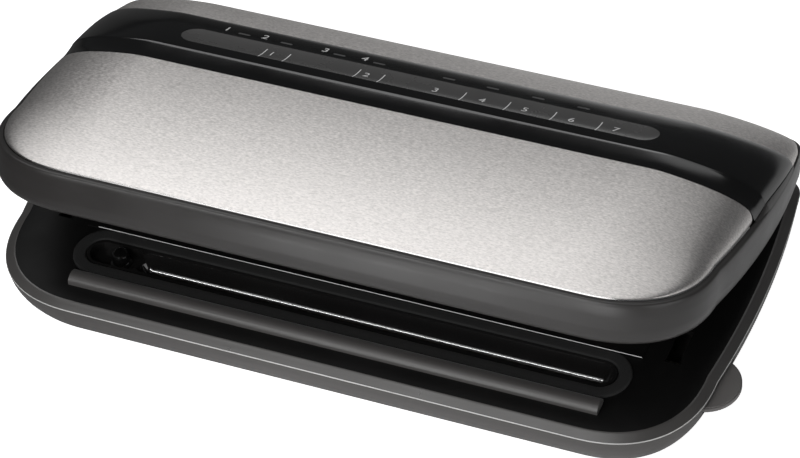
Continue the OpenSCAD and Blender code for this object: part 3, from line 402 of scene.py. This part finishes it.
LOOKS = {
    "tub": look("tub_plastic", (0.072, 0.068, 0.066), 0.40, grain=(2600, 0.25, 0.05)),
    "rim": look("rim_plastic", (0.055, 0.052, 0.050), 0.33, spec=1.0, grain=(2600, 0.2, 0.05)),
    # the rim's edge line in light grey: a painted highlight
    "lip": look("painted_highlight_rim_edge", (0.5, 0.5, 0.49), 0.25, grain=(2600, 0.1, 0.03)),
    "deck": look("deck_plastic", (0.0035, 0.0034, 0.0034), 0.5, spec=0.22, grain=(2200, 0.35, 0.06)),
    "feet": look("foot_rubber", (0.02, 0.02, 0.02), 0.8, grain=(1500, 0.4, 0.1)),
    "screw": look("screw_steel", (0.42, 0.42, 0.43), 0.35, metal=1, grain=(900, 0.1, 0.05)),
    "tray": look("tray_gloss", (0.010, 0.0098, 0.0097), 0.11, coat_rough=0.05, rough_var=0.02),
    "foam": look("foam_rubber", (0.021, 0.021, 0.021), 0.85, spec=0.25, grain=(3200, 0.9, 0.25), var=0.3,
                 var_scale=1800),
    "nozzle": look("nozzle_gloss", (0.005, 0.005, 0.005), 0.10, coat=0.7, rough_var=0.03),
    "silicone": look("silicone", (0.060, 0.057, 0.0555), 0.34, grain=(1800, 0.12, 0.04), sheen=0.1),
    "motor": look("motor_can", (0.5, 0.5, 0.5), 0.3, metal=1, grain=(800, 0.1, 0.05)),
    "pump": look("pump_plastic", (0.02, 0.02, 0.022), 0.5, grain=(1500, 0.2, 0.06)),
    "hose": look("hose_silicone", (0.5, 0.5, 0.46), 0.4, grain=(900, 0.1, 0.05)),
    "valve": look("valve_plastic", (0.03, 0.06, 0.2), 0.4, grain=(1500, 0.15, 0.05)),
    "board": look("circuit_board", (0.015, 0.09, 0.03), 0.35, coat=0.3, grain=(600, 0.1, 0.05), var=0.2),
    "transformer": look("transformer_iron", (0.14, 0.11, 0.07), 0.45, metal=0.3, brushed=(4, 1, 1),
                        grain=(500, 0.4, 0.2), var=0.25),
    "inlet": look("inlet_plastic", (0.012, 0.012, 0.012), 0.5, grain=(1500, 0.2, 0.05)),
    "latch": look("acetal", (0.42, 0.40, 0.36), 0.4, grain=(1500, 0.1, 0.04)),
    "spring": look("spring_wire", (0.55, 0.55, 0.57), 0.2, metal=1),
    "pins": look("ground_steel", (0.6, 0.6, 0.62), 0.18, metal=1),
    "tab": look("tab_plastic", (0.14, 0.134, 0.13), 0.38, grain=(2600, 0.2, 0.05)),
    "lid": look("lid_plastic", (0.027, 0.0252, 0.0245), 0.34, grain=(2600, 0.2, 0.05)),
    "steel": look("brushed_steel", (0.645, 0.623, 0.608), 0.44, metal=1, brushed=(0.42, 1, 1),
                  grain=(1500, 0.42, 0.05), var=0.26, var_scale=1250, rough_var=0.05, spread=0.6),
    # lighter, glossier steel for the plates' cut edges: their own polish and a painted highlight
    "steel_edge_and_painted_highlight": look("steel_edge_and_painted_highlight", (0.8, 0.79, 0.78), 0.2, metal=1, var=0.05),
    "strip": look("strip_gloss", (0.003, 0.003, 0.003), 0.15, spec=0.65, grain=(2200, 0.05, 0.03),
                  rough_var=0.03),
    "touch": look("touch_film", (0.078, 0.077, 0.076), 0.26, grain=(2400, 0.08, 0.03)),
    "lens": look("lamp_window", (0.09, 0.09, 0.09), 0.3, grain=(1200, 0.05, 0.03)),
    "cover": look("cover_plastic", (0.012, 0.012, 0.012), 0.5, grain=(2000, 0.3, 0.06)),
    "heater": look("phenolic", (0.33, 0.29, 0.23), 0.6, grain=(900, 0.2, 0.08), var=0.2),
    "tape": look("coated_tape", (0.10, 0.06, 0.03), 0.42, grain=(1600, 0.4, 0.08), var=0.25,
                 var_scale=1200),
    # white for printed lines, and as a painted highlight on the step's edge
    "white": look("print_and_painted_highlight_white", (0.75, 0.75, 0.75), 0.45),
    "print": look("print_grey", (0.72, 0.72, 0.72), 0.45),
}


def place_x(n, l):
    """The output with a point's x in the row frame, in metres."""
    xyz = n.new("ShaderNodeSeparateXYZ")
    l.new(n.new("ShaderNodeTexCoord").outputs["Object"], xyz.inputs["Vector"])
    return xyz.outputs["X"]


# the tray is dull in its well, at the left end, and glossy along its trough
n, l = shader(LOOKS["tray"])
x = place_x(n, l)
well_end = [(WELL_X + SHIFT + q) * MM for q in (0, 7)]
for socket, dull, glossy in (("Specular IOR Level", 0.12, 1.0), ("Coat Weight", 0.0, 1.0)):
    l.new(remap(n, l, x, well_end, (dull, glossy)), n["Principled BSDF"].inputs[socket])

NODE_LOOKS = {
    "base_tub": "tub", "base_deck": "deck", "rubber_feet": "feet", "base_screws": "screw",
    "drip_tray": "tray", "lower_gasket": "foam", "vacuum_nozzle": "nozzle", "pressure_bar": "silicone",
    "pump_motor": "motor", "pump_head": "pump", "pump_cradle": "pump", "vacuum_hose": "hose",
    "release_valve": "valve", "power_board": "board", "transformer": "transformer",
    "power_inlet": "inlet", "latch_bar": "latch", "latch_spring": "spring", "press_lever": "tab",
    "lever_pin": "pins", "hinge_pins": "pins", "lid_shell": "lid", "front_steel_plate": "steel",
    "rear_steel_plate": "steel", "control_strip": "strip", "touch_panel": "touch",
    "indicator_lenses": "lens", "control_board": "board", "board_screws": "screw",
    "lid_inner_cover": "cover", "upper_gasket": "foam", "heating_bar": "heater", "heating_tape": "tape",
    "latch_hooks": "latch", "lid_screws": "screw",
}


def soften_group(angle=32):
    """Joins a CAD mesh's split corners and shades it smooth, keeping edges sharper than angle."""
    g = bpy.data.node_groups.new("soften", "GeometryNodeTree")
    g.interface.new_socket("Geometry", in_out="INPUT", socket_type="NodeSocketGeometry")
    g.interface.new_socket("Geometry", in_out="OUTPUT", socket_type="NodeSocketGeometry")
    n, l = g.nodes, g.links
    given, result = n.new("NodeGroupInput"), n.new("NodeGroupOutput")
    strip_normals = n.new("GeometryNodeRemoveAttribute")
    strip_normals.inputs["Name"].default_value = "custom_normal"
    merge = n.new("GeometryNodeMergeByDistance")
    merge.inputs["Distance"].default_value = 2e-6
    smooth = n.new("GeometryNodeSetShadeSmooth")
    smooth.domain = "FACE"
    smooth.inputs["Shade Smooth"].default_value = True
    bend = n.new("GeometryNodeInputMeshEdgeAngle")
    gentle = n.new("FunctionNodeCompare")
    gentle.operation = "LESS_EQUAL"
    gentle.inputs["B"].default_value = math.radians(angle)
    creases = n.new("GeometryNodeSetShadeSmooth")
    creases.domain = "EDGE"
    l.new(given.outputs[0], strip_normals.inputs["Geometry"])
    l.new(strip_normals.outputs["Geometry"], merge.inputs["Geometry"])
    l.new(merge.outputs["Geometry"], smooth.inputs["Geometry"])
    l.new(smooth.outputs["Geometry"], creases.inputs["Geometry"])
    l.new(bend.outputs["Unsigned Angle"], gentle.inputs["A"])
    l.new(gentle.outputs["Result"], creases.inputs["Shade Smooth"])
    l.new(creases.outputs["Geometry"], result.inputs[0])
    return g


SOFT = soften_group()
for name, o in nodes.items():
    for s in o.material_slots:
        s.material = LOOKS[NODE_LOOKS[name]]
    o.modifiers.new("soften", "NODES").node_group = SOFT

# ---------------------------------------------------------------- base
# tub: it tucks in toward the floor, by shares of its height and of TUCK
tuck = [(0, 1), (0.06, 0.83), (0.16, 0.67), (0.32, 0.46), (0.52, 0.24), (0.76, 0.07)]
rows = fine_rows([(Z_FLOOR + h * TUB_H, k * TUCK) for h, k in tuck] + [(Z_PART - 0.7, 0.02)], 22)
rows += [(Z_PART - 0.35, 0.08), (Z_PART - 0.12, 0.25), (Z_PART - 0.03, 0.5), (Z_PART - 0.03, 2.4), (14, 5),
         (Z_FLOOR + 2.4, 10.2)]
tub = make("tub_shell", *loft(rows), "tub", "base", "tub", angle=40)
# its openings: the tab's slot, the inlet, the seats of feet and screws, the vents
slot = math.sqrt(TAB_R**2 - TAB_FLAT**2) + 1
cutters = [block(190, Y_TAB - slot, SLOT_Z[0], 212, Y_TAB + slot, SLOT_Z[1]),
           block(INLET_X[0], Y_REAR - 20, INLET_Z[0], INLET_X[1], Y_REAR + 10, INLET_Z[1])]
cutters += [prism(circle(FOOT_R), -1, Z_FLOOR + 1, x, y) for x, y in FEET]
cutters += [prism(circle(SCREW_R), -1, Z_FLOOR + 2.2, x, y) for x, y in SCREWS]
for i in range(-4, 5):
    x0, x1 = (VENT_X + i * VENT_GAP + side * VENT_W / 2 for side in (-1, 1))
    cutters.append(block(x0, VENT_Y[0], Z_FLOOR - 1, x1, VENT_Y[1], Z_FLOOR + 4.4))
cut(tub, cutters)
finish_mesh(tub, "tub", 40)
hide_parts("base_tub")

# the edge line, drawn light grey as a painted highlight, and the bevelled rim above it
line = [(-0.30, -0.02), (-0.05, -0.12), (0.20, -0.10), (0.42, 0.10), (0.42, 1.0), (-0.30, 1.0)]
v, f = loft([(Z_PART + z, k) for z, k in line], closed=True)
make("parting_edge", v, f, "lip", "base", "tub", angle=60)
rows = fine_rows([(Z_PART + 0.42, 0.15), (Z_PART + 1.25, 1.75), (Z_DECK - 0.44, 3.75),
                  (Z_DECK - 0.02, 4.65), (Z_DECK + 0.13, 5.3)], 12)
v, f = loft(rows + [(Z_DECK - 0.6, 5.3), (Z_PART + 0.2, 1.2)], closed=True)
make("bevel_rim", v, f, "rim", "base", "tub", angle=50)

# foam gasket, with soft edges: rows of (z, inset) over its rounded section
SOFT_R = 1.1
z1, arc = Z_DECK + FOAM_UP - SOFT_R, [math.radians(t) for t in np.linspace(180, 90, 7)]
rows = [(Z_DECK - 1.6, 0)]
rows += [(z1 + SOFT_R * math.sin(t), SOFT_R + SOFT_R * math.cos(t)) for t in arc]
rows += [(z1 + SOFT_R * math.sin(t), FOAM_W - SOFT_R - SOFT_R * math.cos(t)) for t in arc[::-1]]
rows += [(Z_DECK - 1.6, FOAM_W)]
v, f = loft(rows, lambda k, z: stadium(SEAL_HL - k, SEAL_HW - k) + [0, Y_SEAL], closed=True)
o = make("foam_seal_lower", v, f, "foam", "base", "foam", angle=60)
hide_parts("lower_gasket")

# white bead along the step behind the chamber: a painted highlight on its edge
v, f = block(-150, Y_STEP - 0.12, Z_DECK + 1.02, 156.4, Y_STEP + 0.15, Z_DECK + 1.42)
make("step_edge", v, f, "white", "base", "deck", bevel=0.12)

# ---------------------------------------------------------------- lid
# side band, by rows of (z, inset): turned-in lower edge, outer face and shoulder, plates' seat, inside
face = [(0, 6.6), (0.8, 5.2), (2.5, 3.3), (6, 1.6), (11, 0.75), (17, 0.8)]
shoulder = [(4, 1.25), (1.9, 1.75), (1.1, 2.25), (0.78, 2.9), (0.66, 4.0)]
seat = [(0.62, 4.45), (0.6, 4.7), (0.8, 4.9), (1.6, 4.95), (1.6, 9)]
rows = [(3.6, 10.6), (0.5, 10.6), (0.1, 10.3), (0, 9.8)]
rows += fine_rows(face + [(BAND_H - z, k) for z, k in shoulder], 76)
rows += [(BAND_H - z, k) for z, k in seat] + [(4, 12.0)]
v, f = loft(rows, lid_outline, closed=True)
shell = make("lid_band", v, f, "lid", "lid", "lid", angle=40)
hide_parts("lid_shell")


def grid(n, m):
    """Faces of a grid of n rows of m points."""
    first = [i * m + j for i in range(n - 1) for j in range(m - 1)]
    return [(a, a + 1, a + m + 1, a + m) for a in first]


def plate_grid(sx, vy, y_at, k):
    """x and y of a grid over the lid: sx are shares of the half width at an inset k, vy shares of y_at."""
    s, g = np.meshgrid(sx, vy)
    x = s * HALF_W
    for _ in range(SETTLE):
        y = y_at(g, x)
        x = s * lid_half_width(y, k)
    return x, y


def end_spread(n_mid, n_end, x0=142.0, xe=195.7):
    """Shares of the half width from -1 to 1, close together over the end slopes."""
    mid = x0 / xe
    t = np.linspace(0, 1, n_end + 1)[1:]
    half = np.concatenate([np.linspace(0, mid, n_mid), mid + (1 - mid) * (1 - (1 - t) ** 1.7)])
    return np.concatenate([-half[:0:-1], half])


def closed_sheet(x, y, z):
    """Sheet of thickness SHEET_T under the grid z(x, y)."""
    n, m = x.shape
    up = np.stack([x, y, z], -1).reshape(-1, 3)
    dn = up - [0, 0, SHEET_T]
    o = n * m
    f = grid(n, m) + [tuple(o + i for i in q[::-1]) for q in grid(n, m)]
    i = np.arange(o).reshape(n, m)
    edge = np.concatenate([i[0], i[1:, -1], i[-1, -2::-1], i[-2:0:-1, 0]])
    f += [(a, o + a, o + b, b) for a, b in zip(edge, np.roll(edge, -1))]
    return np.concatenate([up, dn]), f


COLUMNS = end_spread(16, 26)


def corner(x, y, rad):
    """How far a plate's edge steps back to round its corner."""
    d = np.clip(lid_half_width(y, PLATE_EDGE) - np.abs(x), 0, rad)
    return rad - np.sqrt(np.clip(rad**2 - (rad - d) ** 2, 0, None))


def front_edge(x):
    y = strip_front(x)
    return y - corner(x, y, 3.2) - 0.04


def rear_edge(x):
    y = strip_rear(x)
    return y + corner(x, y, 1.2) + 0.1


def steel_plate(name, g, y_at):
    """A steel plate over the shares g between its edges; its bevel is a lighter, glossier cut edge, partly
    its own polish and partly a painted highlight.
    """
    x, y = plate_grid(COLUMNS, g, y_at, PLATE_EDGE)
    v, f = closed_sheet(x, y, lid_top(x, y))
    o = make(name, v, f, "steel", "lid", "steel", angle=50, bevel=0.35)
    o.data.materials.append(LOOKS["steel_edge_and_painted_highlight"])
    o.modifiers["edge"].material = 1
    return o


# cut edge of the front plate beside the band, in lighter steel as a painted highlight, kept only right of x
# = -160 mm and in front of the strip, where light catches it
rows = [(BAND_H - z, k) for z, k in ((0.5, 5.1), (0.03, 5.54), (0.03, 5.75), (0.5, 5.75))]
v, f = loft(rows, lid_outline, closed=True)
at = np.array(v)
f = [q for q in f if at[list(q), 0].min() > -160 and at[list(q), 1].max() < strip_front(HALF_W) - 1]
make("plate_edge_line", v, f, "steel_edge_and_painted_highlight", "lid", "steel")

y0, y1 = Y_FRONT + PLATE_EDGE, Y_REAR - PLATE_EDGE
o = steel_plate("steel_front", np.linspace(0, 1, 56) ** 1.9, lambda g, x: y0 + g * (front_edge(x) - y0))
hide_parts("front_steel_plate")
o = steel_plate("steel_rear", 1 - np.linspace(1, 0, 46) ** 2.2,
                lambda g, x: rear_edge(x) + g * (y1 - rear_edge(x)))
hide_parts("rear_steel_plate")


def strip_y(g, x):
    """Where a share g of the strip's depth lies at x."""
    return strip_front(x) + g * (strip_rear(x) - strip_front(x))


# black strip: its ends turn down into the side band, in rows of (inset, share of the height over Z_LOW)
Z_LOW = BAND_H - 2.9
WALL = [(4.7, 0.985), (4.45, 0.95), (4.1, 0.88), (3.5, 0.74), (2.9, 0.56), (2.3, 0.35), (1.8, 0.15),
        (1.45, -0.03), (1.33, -0.15), (1.30, -0.45)]
# shares of its depth, closest together where the ridge bends
g = np.concatenate([np.linspace(0, 0.18, 19), np.linspace(0.18, 0.24, 16)[1:],
                    np.linspace(0.24, 1, 36)[1:]])
x, y = plate_grid(COLUMNS, g, strip_y, STRIP_IN)
z = strip_top(x, y)
sheet = [x, y, z]
for side, col in ((-1, 0), (1, -1)):
    end = []
    for k, w in WALL:
        ex = np.full(len(g), side * 195.0)
        for _ in range(SETTLE):
            ey = strip_y(g, ex)
            ex = side * lid_half_width(ey, k)
        end.append([ex, ey, Z_LOW + (z[:, col] - Z_LOW) * w])
    end = np.array(end).transpose(1, 2, 0)
    sheet = [np.concatenate([e[:, ::-1], q] if side < 0 else [q, e], 1) for q, e in zip(sheet, end)]
strip = make("strip", *closed_sheet(*sheet), "strip", "lid", "strip", angle=40)
recess = prism(stadium(TOUCH_L / 2, TOUCH_W / 2), TOUCH_Z, TOUCH_Z + 20, TOUCH_X, TOUCH_Y)
windows = [prism(stadium(3.6, 1.0, 12), BAND_H + 10, BAND_H + 60, x, LAMP_Y) for x in LAMP_X]
cut(strip, [recess] + windows, lid=True)
finish_mesh(strip, "strip", 30)
strip.data.materials.append(LOOKS["lid"])  # the low ends have the band's finish
co = np.zeros(len(strip.data.polygons) * 3)
strip.data.polygons.foreach_get("center", co)
co = from_row(co)
low = np.abs(co[:, 0]) > lid_half_width(co[:, 1], STRIP_IN - 0.3)
strip.data.polygons.foreach_set("material_index", low.astype(int))
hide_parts("control_strip")


# ---------------------------------------------------------------- touch panel and its plain marks
FACE_HW, FACE_HL = TOUCH_W / 2 - 0.06, TOUCH_L / 2 - 0.06
FACE_UP, FACE_FALL, HOLLOW = 2.12, 0.52, 0.95  # height over the recess's floor, fall to the rear, depth


def panel_z(q, v):
    """Height of the panel's face at a share q of the way to its edge, v across it."""
    return TOUCH_Z + FACE_UP - FACE_FALL * v - HOLLOW * (1 - q**2.2)


def face_z(x, y):
    """Height of the panel's face away from its round ends."""
    v = (y - TOUCH_Y) / FACE_HW
    return panel_z(min(abs(v), 1), v)


loop = stadium(FACE_HL, FACE_HW, 30)
axis = np.stack([np.clip(loop[:, 0], FACE_HW - FACE_HL, FACE_HL - FACE_HW), np.zeros(len(loop))], 1)
v = []
for q in np.linspace(0.02, 1, 24):
    v += [(a[0] + TOUCH_X, a[1] + TOUCH_Y, panel_z(q, a[1] / FACE_HW)) for a in axis + q * (loop - axis)]
v += [(a[0] + TOUCH_X, a[1] + TOUCH_Y, TOUCH_Z + 0.1) for a in loop]
o = make("touch_face", v, skin(len(loop), 25), "touch", "lid", "touch", angle=50)
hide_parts("touch_panel")


def ribbon(x, y0, y1, w, name):
    """A printed line across the panel that follows its hollow face."""
    ys = np.linspace(y0, y1, 14)
    v = []
    for y in ys:
        z = face_z(x, y)
        v += [(x - w / 2, y, z + 0.03), (x + w / 2, y, z + 0.03)]
        v += [(x + w / 2, y, z - 0.05), (x - w / 2, y, z - 0.05)]
    make(name, v, skin(4, len(ys)), "white", "lid", "touch")


for i, x in enumerate(LINES):
    ribbon(x, TOUCH_Y - FACE_HW + 0.15, TOUCH_Y + 3.6, 0.55, "key_line_%d" % i)


def numeral(text, x, y, face, size, name):
    """A plain number lying on the surface z = face(x, y)."""
    z, slope = float(face(x, y)) + 0.3, float(face(x, y + 1) - face(x, y - 1)) / 2
    curve = bpy.data.curves.new(name, "FONT")
    curve.body, curve.size, curve.extrude = text, size * MM, 0.02 * MM
    curve.align_x, curve.align_y = "CENTER", "CENTER"
    o = link(name, curve)
    o.location = to_row([(x, y, z)], True)[0]
    o.rotation_euler = (math.atan(slope) - math.radians(AJAR), 0, 0)
    curve.materials.append(LOOKS["print"])
    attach(o, "lid")


for i, (x, y) in enumerate(KEYS, 1):
    numeral(str(i), x, y, face_z, 7.5, "key_number_%d" % i)
for i, (x, y) in enumerate(LABELS, 1):
    numeral(str(i), x, y, strip_top, 8.0, "lamp_number_%d" % i)

# ---------------------------------------------------------------- return spring
WIRE, TURNS = 0.5, 4
lo, hi = (np.array(q) / MM - (SHIFT, 0, 0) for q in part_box("latch_spring"))
t = np.linspace(0, 2 * math.pi * TURNS, 145)
out = np.stack([0 * t, np.cos(t), np.sin(t)], 1)
path = out * ((hi[1] - lo[1]) / 2 - WIRE) + (lo + hi) / 2
path[:, 0] = lo[0] + 0.52 + (hi[0] - lo[0] - 1.04) * t / t[-1]
along = np.gradient(path, axis=0)
along /= np.linalg.norm(along, axis=1)[:, None]
side = np.cross(along, out)
ring = circle(1, 10)
v = [tuple(path[i] + WIRE * (a * out[i] + b * side[i])) for i in range(len(t)) for a, b in ring]
f = skin(len(ring), len(t))
o = make("return_spring", v, f, "spring", "base", "spring", angle=60)
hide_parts("latch_spring")
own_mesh(o)

# ---------------------------------------------------------------- camera, solved on the photo's outlines
turn, lift, roll = map(math.radians, (26.32, 44.985, -6.112))
back = Vector((math.sin(turn) * math.cos(lift), -math.cos(turn) * math.cos(lift), math.sin(lift)))
right = Vector((math.cos(turn), math.sin(turn), 0))
up = back.cross(right)
level = right * math.cos(roll) + up * math.sin(roll)
upright = -right * math.sin(roll) + up * math.cos(roll)
cam = link("camera", bpy.data.cameras.new("camera"))
loc = Vector(((4.364 + SHIFT) * MM, 3.08 * MM, Z_DECK * MM)) + back * 1.75602
cam.matrix_world = Matrix.Translation(loc) @ Matrix((level, upright, back)).transposed().to_4x4()
cam.data.sensor_width, cam.data.lens = 36, 149.28561
cam.data.clip_start, cam.data.clip_end = 0.01, 50
bpy.context.scene.camera = cam

# ---------------------------------------------------------------- floor, world and lamps
# The floor is white to the camera. Other rays see it grey, and darker toward the left, since the photo's
# reflections fall off there.
ground = bpy.data.materials.new("floor")
n, l = shader(ground)
lit = n["Principled BSDF"]
lit.inputs["Base Color"].default_value = (0.86, 0.86, 0.86, 1)
lit.inputs["Roughness"].default_value = 0.9
lit.inputs["Specular IOR Level"].default_value = 0.1
glow = node(n, "Emission", Color=(1, 1, 1, 1), Strength=0.9)
seen, dim, tone = (n.new("ShaderNode" + q) for q in ("AddShader", "BsdfDiffuse", "CombineColor"))
l.new(lit.outputs[0], seen.inputs[0])
l.new(glow.outputs[0], seen.inputs[1])
shade = remap(n, l, place_x(n, l), (-0.27, -0.03), (0.12, 0.9))
for q in tone.inputs[:3]:
    l.new(shade, q)
l.new(tone.outputs["Color"], dim.inputs["Color"])
mix = n.new("ShaderNodeMixShader")
l.new(n.new("ShaderNodeLightPath").outputs["Is Camera Ray"], mix.inputs["Fac"])
l.new(dim.outputs[0], mix.inputs[1])
l.new(seen.outputs[0], mix.inputs[2])
l.new(mix.outputs[0], n["Material Output"].inputs["Surface"])
me = bpy.data.meshes.new("floor")
me.from_pydata([(-6, -6, 0), (6, -6, 0), (6, 6, 0), (-6, 6, 0)], [], [(0, 1, 2, 3)])
floor = link("floor", me)
me.materials.append(ground)

world = bpy.data.worlds.new("world")
bpy.context.scene.world = world
n, l = shader(world)
n["Background"].inputs["Color"].default_value = (0.95, 0.97, 1.0, 1)
n["Background"].inputs["Strength"].default_value = 0.06

# lamps: name, place, aim, length, width, power; metres and watts
for name, pos, aim, size, size_y, power in (
    ("key", (-0.80, 0.78, 1.60), (0, 0, 0.05), 1.3, 0.9, 8.6),
    ("back_right", (0.12, 1.05, 1.42), (0, 0, 0.05), 0.9, 0.8, 2.8),
    ("overhead", (-0.25, -0.35, 1.30), (0, -0.02, 0.05), 0.9, 0.6, 3),
    ("front_strip", (-0.2, -1.25, 1.22), (0, -0.05, 0.03), 1.3, 0.05, 6),
    ("front_panel", (-0.35, -1.45, 0.88), (0, -0.05, 0.03), 1.3, 0.5, 5.3),
    ("front_low", (0.15, -1.2, 0.24), (0.05, 0, 0.03), 0.8, 0.3, 3),
    ("front_near", (-0.05, -0.34, 0.07), (-0.03, -0.1, 0.02), 0.16, 0.06, 0.13),
    ("right", (1.7, -0.5, 0.7), (0, 0, 0.05), 1.5, 1.0, 7),
):
    d = bpy.data.lights.new(name, "AREA")
    d.shape, d.size, d.size_y, d.energy = "RECTANGLE", size, size_y, power
    o = link(name, d)
    o.location = pos
    o.rotation_euler = (Vector(aim) - Vector(pos)).to_track_quat("-Z", "Y").to_euler()

bpy.context.scene.view_settings.view_transform = "Standard"
